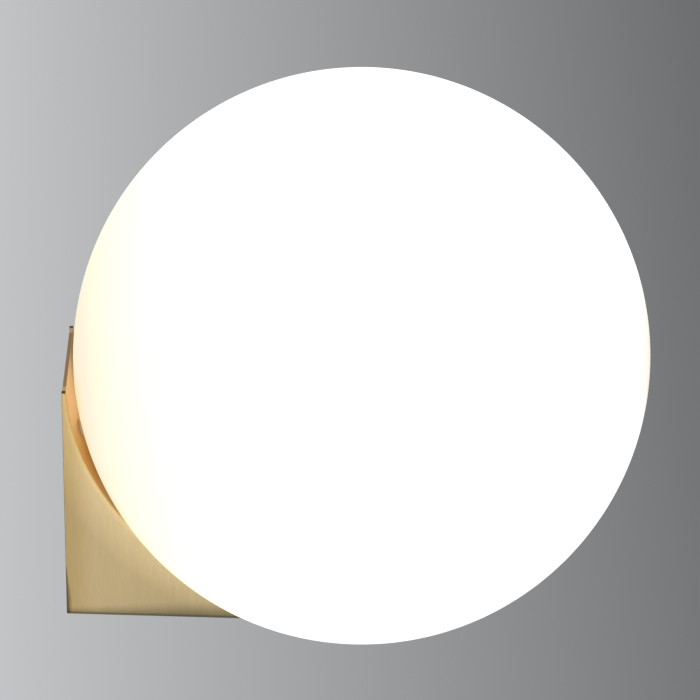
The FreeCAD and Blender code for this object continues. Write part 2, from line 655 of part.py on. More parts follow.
def earth_clamp():
    """The square washer that grips the supply's earth wire."""
    half = EARTH_CLAMP_SIDE / 2
    washer = box(EARTH_SCREW_X - half, EARTH_SCREW_X + half,
                 -PLATE_SHEET - EARTH_CLAMP_THICKNESS, -PLATE_SHEET,
                 EARTH_SCREW_Z - half, EARTH_SCREW_Z + half)
    return washer.cut(earth_screw_rod(EARTH_SCREW_RADIUS))


def earth_screw():
    top = -PLATE_SHEET - EARTH_CLAMP_THICKNESS
    start = FreeCAD.Vector(EARTH_SCREW_X, top, EARTH_SCREW_Z)
    head = rod(EARTH_HEAD_RADIUS, start, -Y_AXIS, EARTH_HEAD_HEIGHT)
    slot = box(EARTH_SCREW_X - EARTH_HEAD_RADIUS, EARTH_SCREW_X + EARTH_HEAD_RADIUS,
               top - EARTH_HEAD_HEIGHT, top - EARTH_HEAD_HEIGHT / 2,
               EARTH_SCREW_Z - EARTH_SLOT_WIDTH / 2, EARTH_SCREW_Z + EARTH_SLOT_WIDTH / 2)
    return head.cut(slot).fuse(earth_screw_rod(EARTH_SCREW_RADIUS)).removeSplitter()


def lock_screw_rod(radius, start_inset, length):
    """A rod along the lock screw's axis, measured inwards from the right-hand cheek's face."""
    height = PLATE_EAR_BOTTOM + PLATE_EAR_HEIGHT / 2
    start = FreeCAD.Vector(OUTER_HALF_WIDTH - start_inset, -LOCK_SCREW_DEPTH, height)
    return rod(radius, start, -X_AXIS, length)


def lock_nut():
    """The round nut pressed into the inside of the right-hand cheek."""
    nut = lock_screw_rod(LOCK_NUT_RADIUS, SHEET, LOCK_NUT_THICKNESS)
    return nut.cut(lock_screw_rod(LOCK_SCREW_RADIUS + SCREW_GAP, SHEET, LOCK_NUT_THICKNESS))


def lock_screw():
    """The grub screw whose tip bears on the wall plate's ear."""
    tip_gap = OUTER_HALF_WIDTH - PLATE_HALF_WIDTH - RUN_GAP
    screw = lock_screw_rod(LOCK_SCREW_RADIUS, LOCK_SCREW_RECESS, tip_gap - LOCK_SCREW_RECESS)
    socket = hexagon(LOCK_SOCKET_FLATS, 0, LOCK_SOCKET_DEPTH)
    socket.rotate(FreeCAD.Vector(0, 0, 0), Y_AXIS, 90)
    height = PLATE_EAR_BOTTOM + PLATE_EAR_HEIGHT / 2
    face = OUTER_HALF_WIDTH - LOCK_SCREW_RECESS
    socket.translate(FreeCAD.Vector(face, -LOCK_SCREW_DEPTH, height))
    return screw.cut(socket)


def upright(radius, x, y, bottom, top):
    return rod(radius, FreeCAD.Vector(x, y, bottom), Z_AXIS, top - bottom)


def terminal_screw(x):
    """A clamp screw that enters its pole from the wall side."""
    level = FLOOR_TOP + TERMINAL_SCREW_RISE
    tip = LEAD_Y + LEAD_RADIUS + LEAD_SEAT_GAP
    start = FreeCAD.Vector(x, BLOCK_REAR, level)
    head = rod(TERMINAL_HEAD_RADIUS, start, -Y_AXIS, TERMINAL_HEAD_HEIGHT)
    shank = rod(TERMINAL_SCREW_RADIUS, start, -Y_AXIS, BLOCK_REAR - tip)
    return head.fuse(shank).removeSplitter()


def terminal_screws():
    return Part.makeCompound([terminal_screw(x) for x in POLES])


def terminal_block():
    """The moulded block with three poles and a foot for its stud."""
    body = box(-BLOCK_WIDTH / 2, BLOCK_WIDTH / 2, BLOCK_FRONT, BLOCK_REAR, FLOOR_TOP, BLOCK_TOP)
    foot = box(-BLOCK_FOOT_WIDTH / 2, BLOCK_FOOT_WIDTH / 2, BLOCK_FRONT - BLOCK_FOOT_DEPTH,
               BLOCK_FRONT, FLOOR_TOP, FLOOR_TOP + BLOCK_FOOT_HEIGHT)
    block = body.fuse(foot).removeSplitter()
    clamp_bottom = FLOOR_TOP + CLAMP_BOTTOM_INSET
    for x in POLES:
        block = block.cut(upright(CLAMP_RADIUS, x, POLE_Y, clamp_bottom, BLOCK_TOP))
        block = block.cut(terminal_screw(x))
    return block.cut(upright(STUD_RADIUS, 0, STUD_Y, FLOOR_TOP, BLOCK_TOP))


def terminal_clamps():
    """Three brass pillars, each bored for the lamp's lead and the supply's."""
    pillars = []
    bottom = FLOOR_TOP + CLAMP_BOTTOM_INSET
    top = BLOCK_TOP - CLAMP_TOP_INSET
    for x in POLES:
        pillar = upright(CLAMP_RADIUS, x, POLE_Y, bottom, top)
        pillar = pillar.cut(upright(CLAMP_BORE_RADIUS, x, POLE_Y, bottom + CLAMP_FLOOR, top))
        pillars.append(pillar.cut(terminal_screw(x)))
    return Part.makeCompound(pillars)


def terminal_stud():
    return upright(STUD_RADIUS, 0, STUD_Y, FLOOR_TOP, FLOOR_TOP + STUD_LENGTH)


def terminal_nut():
    seat = FLOOR_TOP + BLOCK_FOOT_HEIGHT
    nut = hexagon(STUD_NUT_FLATS, -STUD_NUT_THICKNESS, 0)
    nut.translate(FreeCAD.Vector(0, STUD_Y, seat))
    return nut.cut(upright(STUD_RADIUS, 0, STUD_Y, seat, seat + STUD_NUT_THICKNESS))


def lead(name, points):
    """A round lead along straight runs joined by tangent arcs as large as the runs allow."""
    edges = []
    here = points[0]
    for before, corner, after in zip(points, points[1:], points[2:]):
        incoming = (corner - before).normalize()
        outgoing = (after - corner).normalize()
        half_turn = incoming.getAngle(outgoing) / 2
        tangent = LEAD_ARC_SHARE * min((corner - before).Length, (after - corner).Length)
        radius = tangent / math.tan(half_turn)
        start = corner - incoming * tangent
        end = corner + outgoing * tangent
        inward = (outgoing - incoming).normalize()
        middle = corner + inward * (radius / math.cos(half_turn) - radius)
        edges.append(Part.LineSegment(here, start).toShape())
        edges.append(Part.Arc(start, middle, end).toShape())
        print(name, "bend radius", round(radius, 1))
        here = end
    edges.append(Part.LineSegment(here, points[-1]).toShape())
    path = Part.Wire(edges)
    section = Part.Wire([Part.Circle(points[0], points[1] - points[0], LEAD_RADIUS).toShape()])
    tube = path.makePipeShell([section], True, False)
    print(name, "volume ratio", round(tube.Volume / (path.Length * math.pi * LEAD_RADIUS ** 2), 4))
    return tube


def lamp_lead(name, side):
    """From the lampholder through the stem to an outer pole of the terminal block."""
    x = side * LEAD_SPREAD
    pole = side * POLE_SPACING
    return lead(name, [axis_point(x, 0, HOLDER_FAR - LEAD_IN_HOLDER),
                       axis_point(x, 0, STEM_FAR + LEAD_PAST_STEM),
                       FreeCAD.Vector(pole, LEAD_Y, BLOCK_TOP + LEAD_BEND_RISE),
                       FreeCAD.Vector(pole, LEAD_Y, BLOCK_TOP - LEAD_IN_CLAMP)])


def earth_lead():
    """From the earth tag down to the middle pole of the terminal block."""
    start = axis_point(0, TAG_BARREL_OFFSET, TAG_NEAR + TAG_THICKNESS)
    drop = LEAD_Y - start.y
    return lead("earth_lead", [start, FreeCAD.Vector(0, LEAD_Y, start.z - drop),
                               FreeCAD.Vector(0, LEAD_Y, BLOCK_TOP - LEAD_IN_CLAMP)])


PARTS = {
    "cradle_shell": cradle_shell,
    "seat_plate": seat_plate,
    "seat_buffers": seat_buffers,
    "cleat_bar": cleat_bar,
    "carrier_bracket": carrier_bracket,
    "fitter_cup": fitter_cup,
    "stem_tube": stem_tube,
    "stem_nuts": stem_nuts,
    "lock_washer": lock_washer,
    "earth_tag": earth_tag,
    "holder_bracket": holder_bracket,
    "holder_body": holder_body,
    "holder_contacts": holder_contacts,
    "holder_screws": holder_screws,
    "terminal_block": terminal_block,
    "terminal_clamps": terminal_clamps,
    "terminal_screws": terminal_screws,
    "terminal_stud": terminal_stud,
    "terminal_nut": terminal_nut,
    "brown_lead": lambda: lamp_lead("brown_lead", -1),
    "blue_lead": lambda: lamp_lead("blue_lead", 1),
    "earth_lead": earth_lead,
    "lock_nut": lock_nut,
    "lock_screw": lock_screw,
    "neck_gasket": neck_gasket,
    "neck_collar": neck_collar,
    "globe_glass": globe_glass,
    "bulb_envelope": bulb_envelope,
    "bulb_base": bulb_base,
    "bulb_pins": bulb_pins,
    "light_core": light_core,
    "wall_plate": wall_plate,
    "cable_grommet": cable_grommet,
    "earth_clamp": earth_clamp,
    "earth_screw": earth_screw,
}

os.makedirs("parts", exist_ok=True)
for part_name, make_part in PARTS.items():
    solid = make_part()
    print(part_name, "valid" if solid.isValid() else "NOT VALID", len(solid.Solids), round(solid.Volume, 1))
    solid.exportStep("parts/" + part_name + ".step")
print("globe centre", CENTRE, "cradle bottom", round(CRADLE_BOTTOM, 3), "floor top", round(FLOOR_TOP, 3))
print("width", 2 * OUTER_HALF_WIDTH, "neck end", NECK_END, "stem", STEM_NEAR, STEM_FAR)
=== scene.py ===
import math

import bmesh
import bpy
from mathutils import Matrix, Vector


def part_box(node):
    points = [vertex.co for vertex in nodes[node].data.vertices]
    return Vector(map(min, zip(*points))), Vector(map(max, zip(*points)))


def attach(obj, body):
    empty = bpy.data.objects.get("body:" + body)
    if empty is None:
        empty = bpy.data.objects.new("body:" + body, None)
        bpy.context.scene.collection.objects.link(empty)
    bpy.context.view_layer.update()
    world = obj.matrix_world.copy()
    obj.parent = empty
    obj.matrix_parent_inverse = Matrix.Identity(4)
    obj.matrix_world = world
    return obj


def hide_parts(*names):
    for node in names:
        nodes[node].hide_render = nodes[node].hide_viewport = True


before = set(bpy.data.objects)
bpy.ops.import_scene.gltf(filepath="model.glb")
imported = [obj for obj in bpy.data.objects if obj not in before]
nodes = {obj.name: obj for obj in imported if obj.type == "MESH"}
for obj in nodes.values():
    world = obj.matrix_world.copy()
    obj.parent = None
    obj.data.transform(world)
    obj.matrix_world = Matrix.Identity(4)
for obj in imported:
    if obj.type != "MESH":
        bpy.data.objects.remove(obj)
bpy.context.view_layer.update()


# ---------------------------------------------------------------------------------------------
# Wall plate.  Folded from 2 mm rolled steel and zinc plated, with upright slots for the wall
# screws, two ears and a cleat tongue.  A rubber bush lines the cable hole, and a brass screw
# holds the earth wire down on the plate under a square clamp washer.

NUMBER = "NodeSocketFloat"
VECTOR = "NodeSocketVector"
MOST_OF_NOISE = (0.3, 0.7)


def link(tree, source, target):
    tree.links.new(source, target)


def link_all(tree, *pairs):
    """Links each (source, target) pair of sockets."""
    for source, target in pairs:
        link(tree, source, target)


def add(tree, kind, values=None, **settings):
    """One node of a tree, with its settings and the plain values of its inputs."""
    node = tree.nodes.new(kind)
    for name, value in settings.items():
        setattr(node, name, value)
    for name, value in (values or {}).items():
        node.inputs[name].default_value = value
    return node


def start_group(name, inputs, outputs):
    """An empty shader group with named inputs and outputs."""
    group = bpy.data.node_groups.new(name, "ShaderNodeTree")
    for label, (kind, value) in inputs.items():
        socket = group.interface.new_socket(label, in_out="INPUT", socket_type=kind)
        if value is not None:
            socket.default_value = value
    for label in outputs:
        group.interface.new_socket(label, in_out="OUTPUT", socket_type=NUMBER)
    return group, group.nodes.new("NodeGroupInput"), group.nodes.new("NodeGroupOutput")


# Cloudiness in two sizes: the uneven plating, lacquer and handling marks that every finish has.
clouds, inp, out = start_group("clouds", {"Vector": (VECTOR, None), "Coarse Scale": (NUMBER, 40.0),
                                          "Fine Scale": (NUMBER, 900.0), "Fine Share": (NUMBER, 0.4)},
                               ("Mask", "Height"))
coarse = add(clouds, "ShaderNodeTexNoise", {"Detail": 3.0, "Roughness": 0.55})
fine = add(clouds, "ShaderNodeTexNoise", {"Detail": 2.0, "Roughness": 0.6})
both = add(clouds, "ShaderNodeMix")
link_all(clouds, (inp.outputs["Vector"], coarse.inputs["Vector"]),
         (inp.outputs["Vector"], fine.inputs["Vector"]),
         (inp.outputs["Coarse Scale"], coarse.inputs["Scale"]),
         (inp.outputs["Fine Scale"], fine.inputs["Scale"]),
         (inp.outputs["Fine Share"], both.inputs["Factor"]),
         (coarse.outputs[0], both.inputs["A"]), (fine.outputs[0], both.inputs["B"]),
         (both.outputs["Result"], out.inputs["Mask"]), (fine.outputs[0], out.inputs["Height"]))


def start_material(name, stretch=(1.0, 1.0, 1.0), turn=(0.0, 0.0, 0.0), centre=(0.0, 0.0, 0.0)):
    """A material, its tree, its shader and the piece's own coordinates in metres."""
    material = bpy.data.materials.new(name)
    material.use_nodes = True
    tree = material.node_tree
    own = add(tree, "ShaderNodeTexCoord")
    mapping = add(tree, "ShaderNodeMapping", {"Location": centre, "Rotation": turn, "Scale": stretch},
                  vector_type="TEXTURE" if any(turn) or any(centre) else "POINT")
    link(tree, own.outputs["Object"], mapping.inputs["Vector"])
    return material, tree, tree.nodes["Principled BSDF"], mapping.outputs["Vector"]


def place_group(tree, group, vector, **values):
    """Puts a shared effect into a material, with this material's own values."""
    node = add(tree, "ShaderNodeGroup", node_tree=group)
    for label, value in values.items():
        node.inputs[label.replace("_", " ")].default_value = value
    link(tree, vector, node.inputs["Vector"])
    return node


def colour_run(tree, mask, *stops):
    """A colour that runs through (position, colour) stops as a mask rises."""
    ramp = add(tree, "ShaderNodeValToRGB")
    elements = ramp.color_ramp.elements
    while len(elements) < len(stops):
        elements.new(0.5)
    for element, (position, colour) in zip(elements, stops):
        element.position = position
        element.color = (*colour, 1.0)
    link(tree, mask, ramp.inputs["Fac"])
    return ramp.outputs["Color"]


def two_tones(tree, mask, low, high, spread=MOST_OF_NOISE):
    """A colour that runs from low to high as a mask rises."""
    return colour_run(tree, mask, (spread[0], low), (spread[1], high))


def run(tree, mask, low, high, spread=MOST_OF_NOISE):
    """A number that runs from low to high as a mask crosses a spread."""
    span = add(tree, "ShaderNodeMapRange", {"From Min": spread[0], "From Max": spread[1],
                                            "To Min": low, "To Max": high})
    link(tree, mask, span.inputs["Value"])
    return span.outputs["Result"]


def raised(tree, height, depth):
    """A bump of a depth in metres."""
    bump = add(tree, "ShaderNodeBump", {"Distance": depth})
    link(tree, height, bump.inputs["Height"])
    return bump.outputs["Normal"]


def finish(tree, shader, colour=None, roughness=None, normal=None, **constants):
    """Feeds the shader what varies over the surface, and sets what does not."""
    for label, source in (("Base Color", colour), ("Roughness", roughness), ("Normal", normal)):
        if source is not None:
            link(tree, source, shader.inputs[label])
    for label, value in constants.items():
        shader.inputs[label.replace("_", " ")].default_value = value


def clouded(name, low, high, rough, scales, skin, **constants):
    """A finish in two cloudy tones, with uneven gloss and a fine skin of a depth in metres."""
    material, tree, shader, vector = start_material(name)
    cloud = place_group(tree, clouds, vector, Coarse_Scale=scales[0], Fine_Scale=scales[1])
    finish(tree, shader, two_tones(tree, cloud.outputs["Mask"], low, high),
           run(tree, cloud.outputs["Mask"], *rough), raised(tree, cloud.outputs["Height"], skin),
           **constants)
    return material


def dress(material, *names):
    """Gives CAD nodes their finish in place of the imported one."""
    for name in names:
        nodes[name].data.materials.clear()
        nodes[name].data.materials.append(material)


zinc = clouded("zinc_plate", low=(0.50, 0.53, 0.57), high=(0.68, 0.70, 0.72), rough=(0.44, 0.28),
               scales=(70.0, 1500.0), skin=0.00002, Metallic=1.0)
rubber = clouded("black_rubber", low=(0.018, 0.018, 0.019), high=(0.040, 0.039, 0.038),
                 rough=(0.78, 0.58), scales=(160.0, 2600.0), skin=0.00004)
dress(zinc, "wall_plate", "earth_clamp")
dress(rubber, "cable_grommet")


# ---------------------------------------------------------------------------------------------
# Cradle.  Brass sheet, 1.5 mm, belt brushed and clear lacquered: two cheeks and a floor folded
# from one blank, so that the grain runs up the cheeks and on across the floor, and a rolled seat
# soldered between them, with a cleat bar behind it.

GLOBE_RADIUS = 0.125
cheek_low, cheek_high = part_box("cradle_shell")
globe_low, globe_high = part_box("globe_glass")
globe_centre = Vector((0.0, globe_low.y + GLOBE_RADIUS, globe_high.z - GLOBE_RADIUS))

# Brushed grain: fine scratches and wider bands, both drawn out along the lay of the brushing.
DRAWN_OUT, BAND_TONE = 0.045, 0.08
SCRATCH_DEPTH, BRUSHED_SPREAD = 0.000004, (0.2, 0.8)
grain, inp, out = start_group("brushed_grain", {"Vector": (VECTOR, None), "Line Scale": (NUMBER, 1800.0),
                                                "Band Scale": (NUMBER, 260.0)}, ("Lines", "Bands"))
lines = add(grain, "ShaderNodeTexNoise", {"Detail": 4.0, "Roughness": 0.7})
bands = add(grain, "ShaderNodeTexNoise", {"Detail": 2.0, "Roughness": 0.5})
link_all(grain, (inp.outputs["Vector"], lines.inputs["Vector"]),
         (inp.outputs["Vector"], bands.inputs["Vector"]),
         (inp.outputs["Line Scale"], lines.inputs["Scale"]),
         (inp.outputs["Band Scale"], bands.inputs["Scale"]),
         (lines.outputs[0], out.inputs["Lines"]), (bands.outputs[0], out.inputs["Bands"]))

# A soft band beside an edge: 1 on the edge, 0 one width away from it.
edge_band, inp, out = start_group("edge_band", {"Distance": (NUMBER, 0.0), "Width": (NUMBER, 0.001)},
                                  ("Mask",))
fall = add(edge_band, "ShaderNodeMapRange", {"From Min": 0.0, "To Min": 1.0, "To Max": 0.0},
           interpolation_type="SMOOTHSTEP")
link_all(edge_band, (inp.outputs["Distance"], fall.inputs["Value"]),
         (inp.outputs["Width"], fall.inputs["From Max"]), (fall.outputs["Result"], out.inputs["Mask"]))


def maths(tree, operation, first, second=0.0):
    """Arithmetic on one or two values, each a socket or a plain number."""
    node = add(tree, "ShaderNodeMath", operation=operation)
    for socket, value in zip(node.inputs, (first, second)):
        if isinstance(value, (int, float)):
            socket.default_value = value
        else:
            link(tree, value, socket)
    return node.outputs[0]


def where_all(tree, mask, *others):
    """A mask that is on only where several masks are."""
    for other in others:
        mask = maths(tree, "MULTIPLY", mask, other)
    return mask


def rise(tree, value, start, end, easing="LINEAR"):
    """A mask that is 0 up to the start, 1 from the end on, and climbs between them."""
    step = add(tree, "ShaderNodeMapRange", {"From Min": start, "From Max": end},
               interpolation_type=easing)
    link(tree, value, step.inputs["Value"])
    return step.outputs["Result"]


def band_mask(tree, distance, width):
    """The edge band at a distance, each a socket or a plain number."""
    node = add(tree, "ShaderNodeGroup", node_tree=edge_band)
    for label, value in (("Distance", distance), ("Width", width)):
        if isinstance(value, float):
            node.inputs[label].default_value = value
        else:
            link(tree, value, node.inputs[label])
    return node.outputs["Mask"]


# The colour sockets of a Mix node, by number.
COLOUR_A, COLOUR_B, COLOUR_OUT = 6, 7, 2


def tinted(tree, colour, mask, shade):
    """Multiplies a colour by a shade where a mask is on."""
    mix = add(tree, "ShaderNodeMix", data_type="RGBA", blend_type="MULTIPLY", clamp_result=False)
    link(tree, mask, mix.inputs["Factor"])
    link(tree, colour, mix.inputs[COLOUR_A])
    mix.inputs[COLOUR_B].default_value = (*shade, 1.0)
    return mix.outputs[COLOUR_OUT]


def brushed(name, stretch, low, high, rough, scales):
    """Brushed metal up to its colour, left open for what happens along its edges."""
    material, tree, shader, vector = start_material(name, stretch)
    lay = place_group(tree, grain, vector, Line_Scale=scales[0], Band_Scale=scales[1])
    mask = maths(tree, "ADD", lay.outputs["Lines"], run(tree, lay.outputs["Bands"], -BAND_TONE, BAND_TONE))
    own = add(tree, "ShaderNodeTexCoord")
    place = add(tree, "ShaderNodeSeparateXYZ")
    link(tree, own.outputs["Object"], place.inputs[0])
    finish(tree, shader, None, run(tree, lay.outputs["Lines"], *rough),
           raised(tree, lay.outputs["Lines"], SCRATCH_DEPTH), Metallic=1.0)
    return material, tree, shader, two_tones(tree, mask, low, high, BRUSHED_SPREAD), place


def seat_radius(tree, y, z):
    """How far a point is from the line through the globe's centre that the seat curves about."""
    flat = add(tree, "ShaderNodeCombineXYZ")
    link(tree, maths(tree, "SUBTRACT", y, globe_centre.y), flat.inputs["Y"])
    link(tree, maths(tree, "SUBTRACT", z, globe_centre.z), flat.inputs["Z"])
    reach = add(tree, "ShaderNodeVectorMath", operation="LENGTH")
    link(tree, flat.outputs[0], reach.inputs[0])
    return reach.outputs["Value"]


# The lit globe's light on the cheek is painted: it is brightest along the quarter-circle cut and
# duller from there on, darker and yellower by the wall and greyer low down in front.  Painted shade
# lays a dark soft line along the back edge and a wider one along the fold at the foot, most so in
# front, and a dark line runs along the top.
CUT_EDGE, LAMP_LIGHT = (0.1278, 0.1296), (0.128, 0.144)
WALL_BAND, RIM_LINE = 0.014, 0.0006
LOW_BAND, LOW_FRONT = 0.034, (-0.010, -0.050)
FOLD_BY_WALL, FOLD_IN_FRONT, FOLD_REACH = 0.006, 0.0138, 0.08
BACK_LINE, BACK_FOOT, FOOT_START, FOOT_END = 0.0002, 0.0030, 0.030, 0.010

cheek_brass, tree, shader, colour, place = brushed(
    "cheek_brass", (DRAWN_OUT, 1.0, DRAWN_OUT), low=(0.835, 0.635, 0.33), high=(0.91, 0.705, 0.38),
    rough=(0.44, 0.40), scales=(2000.0, 240.0))
x, y, z = place.outputs
above_foot = maths(tree, "SUBTRACT", z, cheek_low.z)
from_back = maths(tree, "SUBTRACT", cheek_high.y, y)
from_lamp = seat_radius(tree, y, z)
off_edge = rise(tree, from_lamp, *CUT_EDGE)
away = rise(tree, from_lamp, *LAMP_LIGHT)
low_front = where_all(tree, band_mask(tree, above_foot, LOW_BAND), rise(tree, y, *LOW_FRONT))
wall_shade = band_mask(tree, from_back, WALL_BAND)
fold = band_mask(tree, above_foot, run(tree, y, FOLD_BY_WALL, FOLD_IN_FRONT,
                                       (cheek_high.y, cheek_high.y - FOLD_REACH)))
back_edge_shade = band_mask(tree, from_back, run(tree, z, BACK_LINE, BACK_FOOT,
                                           (cheek_low.z + FOOT_START, cheek_low.z + FOOT_END)))
rim = band_mask(tree, maths(tree, "SUBTRACT", cheek_high.z, z), RIM_LINE)
for mask, shade in ((off_edge, (0.91, 0.91, 0.91)),
                    (away, (0.745, 0.745, 0.745)),
                    (low_front, (0.85, 0.86, 0.87)),
                    (wall_shade, (0.86, 0.81, 0.68)),
                    (fold, (0.37, 0.39, 0.38)),
                    (back_edge_shade, (0.25, 0.24, 0.21)),
                    (rim, (0.22, 0.18, 0.13))):
    colour = tinted(tree, colour, mask, shade)
link(tree, colour, shader.inputs["Base Color"])
shader.inputs["Anisotropic"].default_value = 0.5
dress(cheek_brass, "cradle_shell")

# The seat's top edge, the land, is darkened by painted shade short of its ends, and a dark solder
# seam runs up each side.  Painted shade also dims the right-hand half of the front face under the
# globe, up to the land, and greys the lower part.
LAND_LINE, LAND_ENDS, LAND_FADE, SEAM_LINE = 0.0004, 0.0030, 0.0010, 0.0005
DIM_SIDE, DIM_RISE, DIM_TOP = (0.0, 0.011), (0.052, 0.070), 0.0001
FRONT_FACE, LOWER_PART = (0.1275, 0.1283), (0.036, 0.020)

seat_brass, tree, shader, colour, place = brushed(
    "seat_brass", (1.0, DRAWN_OUT, DRAWN_OUT), low=(0.72, 0.52, 0.27), high=(0.82, 0.61, 0.33),
    rough=(0.40, 0.32), scales=(1500.0, 240.0))
x, y, z = place.outputs
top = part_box("seat_plate")[1].z
half_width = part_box("seat_plate")[1].x
off_middle = maths(tree, "ABSOLUTE", x)
from_ends = maths(tree, "SUBTRACT", half_width - LAND_ENDS, off_middle)
land = where_all(tree, band_mask(tree, maths(tree, "SUBTRACT", top, z), LAND_LINE),
                 rise(tree, from_ends, 0.0, LAND_FADE))
seam = band_mask(tree, maths(tree, "SUBTRACT", half_width, off_middle), SEAM_LINE)
dim = where_all(tree, rise(tree, x, *DIM_SIDE), rise(tree, z, *DIM_RISE),
                run(tree, z, 1.0, 0.0, (top - LAND_LINE, top - DIM_TOP)),
                run(tree, seat_radius(tree, y, z), 1.0, 0.0, FRONT_FACE))
for mask, shade in ((land, (0.63, 0.56, 0.50)),
                    (seam, (0.25, 0.22, 0.18)),
                    (dim, (0.50, 0.48, 0.45)),
                    (rise(tree, z, *LOWER_PART), (0.80, 0.84, 0.88))):
    colour = tinted(tree, colour, mask, shade)
link(tree, colour, shader.inputs["Base Color"])
dress(seat_brass, "seat_plate", "cleat_bar")


# ---------------------------------------------------------------------------------------------
# Seat buffers.  Four studs of translucent silicone, pressed through holes in the seat by their
# stems, for the glass to rest on.  The neck gasket is cut from the same silicone.

silicone = clouded("clear_silicone", low=(0.93, 0.88, 0.80), high=(0.97, 0.94, 0.88), rough=(0.34, 0.24),
                   scales=(200.0, 2400.0), skin=0.00001, Transmission_Weight=0.5, IOR=1.3)
dress(silicone, "seat_buffers", "neck_gasket")


# ---------------------------------------------------------------------------------------------
# Fitter and stem.  A brass cup turned from bar sits on a zinc plated channel welded behind the
# seat.  Nuts on the hollow threaded stem clamp it, with a toothed washer under the earth tag.

LAMP_LEAN = math.radians(45)
lamp_axis = Matrix.Translation(globe_centre) @ Matrix.Rotation(LAMP_LEAN, 4, "X")

TURNED_LOW, TURNED_HIGH = (0.66, 0.47, 0.22), (0.84, 0.65, 0.35)
TOOL_RINGS, TOOL_DEPTH = 2600.0, 0.000008

# Turning marks: fine rings about the Z of the coordinates, left by the tool of a lathe.
turning, inp, out = start_group("turning_marks", {"Vector": (VECTOR, None),
                                                  "Ring Scale": (NUMBER, 2500.0)}, ("Rings",))
split = add(turning, "ShaderNodeSeparateXYZ")
join = add(turning, "ShaderNodeCombineXYZ")
rings = add(turning, "ShaderNodeTexNoise", {"Detail": 3.0, "Roughness": 0.7})
squares = [maths(turning, "MULTIPLY", split.outputs[side], split.outputs[side]) for side in "XY"]
radius = maths(turning, "SQRT", maths(turning, "ADD", *squares))
link_all(turning, (inp.outputs["Vector"], split.inputs[0]), (radius, join.inputs["X"]),
         (split.outputs["Z"], join.inputs["Z"]), (join.outputs[0], rings.inputs["Vector"]),
         (inp.outputs["Ring Scale"], rings.inputs["Scale"]), (rings.outputs[0], out.inputs["Rings"]))


def turned_metal(name, low, high, rough, turn, centre):
    """Metal off the lathe: rings of tone and gloss about the piece's own axis."""
    material, tree, shader, vector = start_material(name, turn=turn, centre=centre)
    marks = place_group(tree, turning, vector, Ring_Scale=TOOL_RINGS)
    finish(tree, shader, two_tones(tree, marks.outputs["Rings"], low, high),
           run(tree, marks.outputs["Rings"], *rough), raised(tree, marks.outputs["Rings"], TOOL_DEPTH),
           Metallic=1.0)
    return material


turned_brass = turned_metal("turned_brass", TURNED_LOW, TURNED_HIGH, rough=(0.30, 0.18),
                            turn=(LAMP_LEAN, 0.0, 0.0), centre=globe_centre)
turned_zinc = turned_metal("turned_zinc", (0.52, 0.54, 0.57), (0.70, 0.71, 0.73), rough=(0.36, 0.24),
                           turn=(LAMP_LEAN, 0.0, 0.0), centre=globe_centre)
tinned = clouded("tinned_copper", low=(0.60, 0.59, 0.57), high=(0.76, 0.75, 0.73), rough=(0.42, 0.28),
                 scales=(150.0, 2200.0), skin=0.00001, Metallic=1.0)
dress(turned_brass, "fitter_cup")
dress(zinc, "carrier_bracket", "stem_nuts", "lock_washer")
dress(tinned, "earth_tag")


def start_tree(name, inputs, output):
    """An empty geometry tree with named inputs, the last of them the finish, and one output."""
    tree = bpy.data.node_groups.new(name, "GeometryNodeTree")
    for label, kind in (*inputs, ("Finish", "NodeSocketMaterial")):
        tree.interface.new_socket(label, in_out="INPUT", socket_type=kind)
    tree.interface.new_socket(output, in_out="OUTPUT", socket_type="NodeSocketGeometry")
    return tree, tree.nodes.new("NodeGroupInput"), tree.nodes.new("NodeGroupOutput")


def end_tree(tree, inp, made, out):
    """Makes the shape real, gives it its finish and hands it out of the tree."""
    real = add(tree, "GeometryNodeRealizeInstances")
    paint = add(tree, "GeometryNodeSetMaterial")
    link_all(tree, (made, real.inputs["Geometry"]), (real.outputs[0], paint.inputs["Geometry"]),
             (inp.outputs["Finish"], paint.inputs["Material"]), (paint.outputs[0], out.inputs[0]))


# A lathe: turns a section, held as a mesh's points with radius in X and height in Z, about Z.  A
# grid gives one row of points for each step of the turn, and its doubles are welded afterwards.
SAME_POINT = 0.0000002
lathe, inp, out = start_tree("lathe", (("Section", "NodeSocketGeometry"),
                                       ("Turn Steps", "NodeSocketInt")), "Turned")
count = add(lathe, "GeometryNodeAttributeDomainSize", component="MESH")
grid = add(lathe, "GeometryNodeMeshGrid")
index = add(lathe, "GeometryNodeInputIndex")
place = add(lathe, "GeometryNodeInputPosition")
sample = add(lathe, "GeometryNodeSampleIndex", data_type="FLOAT_VECTOR", domain="POINT")
split = add(lathe, "ShaderNodeSeparateXYZ")
spot = add(lathe, "ShaderNodeCombineXYZ")
move = add(lathe, "GeometryNodeSetPosition")
weld = add(lathe, "GeometryNodeMergeByDistance", {"Distance": SAME_POINT})
points = count.outputs["Point Count"]
row = maths(lathe, "MODULO", index.outputs[0], points)
spoke = maths(lathe, "FLOOR", maths(lathe, "DIVIDE", index.outputs[0], points))
angle = maths(lathe, "MULTIPLY", maths(lathe, "DIVIDE", spoke, inp.outputs["Turn Steps"]), math.tau)
for side, wave in (("X", "COSINE"), ("Y", "SINE")):
    link(lathe, maths(lathe, "MULTIPLY", split.outputs["X"], maths(lathe, wave, angle)), spot.inputs[side])
link_all(lathe, (inp.outputs["Section"], count.inputs["Geometry"]),
         (maths(lathe, "ADD", inp.outputs["Turn Steps"], 1.0), grid.inputs["Vertices X"]),
         (points, grid.inputs["Vertices Y"]), (row, sample.inputs["Index"]),
         (inp.outputs["Section"], sample.inputs["Geometry"]),
         (place.outputs[0], sample.inputs["Value"]), (sample.outputs["Value"], split.inputs[0]),
         (split.outputs["Z"], spot.inputs["Z"]), (grid.outputs["Mesh"], move.inputs["Geometry"]),
         (spot.outputs[0], move.inputs["Position"]), (move.outputs[0], weld.inputs["Geometry"]))
